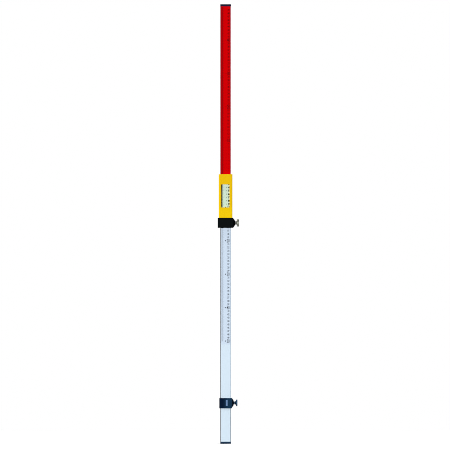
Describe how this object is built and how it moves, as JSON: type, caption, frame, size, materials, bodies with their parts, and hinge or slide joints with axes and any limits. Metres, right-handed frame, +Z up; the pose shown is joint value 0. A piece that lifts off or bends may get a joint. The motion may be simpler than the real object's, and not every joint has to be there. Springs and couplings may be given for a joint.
{
  "type": "leveling staff",
  "caption": "Telescopic leveling staff: scale section sliding on a rear leg, with a windowed slide for a laser receiver and thumb-screw clamps.",
  "frame": {"origin": "middle of the foot's underside, on the axis of the leg", "axes": "+Z up along the staff, -Y out of the scale's face, +X towards the thumb screws"},
  "size_m": [0.0634, 0.0423, 1.3149],
  "materials": {
    "anodised_aluminium": "satin anodised extrusion",
    "navy_plastic": "glossy moulded plastic",
    "black_plastic": "fine moulded texture",
    "yellow_plastic": "satin moulded plastic",
    "red_film": "printed film",
    "silver_film": "printed silver film",
    "clear_pane": "clear acrylic",
    "plate_grey": "satin inset plate",
    "nickel_knob": "nickel plated, fluted",
    "dark_knob": "blue-black, fluted",
    "screw_steel": "zinc plated",
    "nut_brass": "turned",
    "white_nylon": "milled",
    "lining_rubber": "smooth"
  },
  "bodies": {
    "leg": {"leg_profile": "anodised_aluminium", "foot_cap": "navy_plastic", "foot_cap_screws": "screw_steel", "leg_top_glide": "black_plastic", "leg_glide_screws": "screw_steel"},
    "staff": {"staff_profile": "anodised_aluminium", "red_scale_strip": "red_film", "silver_scale_strip": "silver_film", "top_cap": "navy_plastic", "top_cap_screws": "screw_steel", "slot_stop": "white_nylon", "slot_stop_screw": "screw_steel", "lower_collar": "navy_plastic", "lower_collar_plate": "plate_grey", "lower_collar_screws": "screw_steel", "lower_nut": "nut_brass", "leg_glide_strips": "white_nylon"},
    "leg_shoe": {"leg_clamp_shoe": "black_plastic", "leg_clamp_lining": "lining_rubber"},
    "leg_screw": {"leg_clamp_stud": "screw_steel", "leg_clamp_knob": "dark_knob"},
    "slide": {"slide_housing": "yellow_plastic", "window_pane": "clear_pane", "slide_glide_strips": "white_nylon", "slide_collar": "black_plastic", "slide_collar_screws": "screw_steel", "slide_nut": "nut_brass"},
    "slide_shoe": {"slide_clamp_shoe": "black_plastic", "slide_clamp_lining": "lining_rubber"},
    "slide_screw": {"slide_clamp_stud": "screw_steel", "slide_clamp_knob": "nickel_knob"}
  },
  "joints": [
    {"name": "staff_extend", "type": "slide", "parent": "leg", "child": "staff", "axis": [0, 0, 1], "range_m": [0, 1.085]},
    {"name": "slide_travel", "type": "slide", "parent": "staff", "child": "slide", "axis": [0, 0, 1], "range_m": [-0.5, 0.5]},
    {"name": "leg_shoe_press", "type": "slide", "parent": "staff", "child": "leg_shoe", "axis": [1, 0, 0], "range_m": [0, 0.0012]},
    {"name": "leg_screw_turn", "type": "hinge", "parent": "leg_shoe", "child": "leg_screw", "pos_m": [0.0254, 0, 0.1226], "axis": [1, 0, 0], "range_deg": [0, 540]},
    {"name": "slide_shoe_press", "type": "slide", "parent": "slide", "child": "slide_shoe", "axis": [1, 0, 0], "range_m": [0, 0.0012]},
    {"name": "slide_screw_turn", "type": "hinge", "parent": "slide_shoe", "child": "slide_screw", "pos_m": [0.03015, -0.0175, 0.6608], "axis": [1, 0, 0], "range_deg": [0, 540]}
  ],
  "couplings": [
    {"joint": "leg_screw_turn", "follows": "leg_shoe_press", "rad_per_m": 7854},
    {"joint": "slide_screw_turn", "follows": "slide_shoe_press", "rad_per_m": 7854}
  ]
}
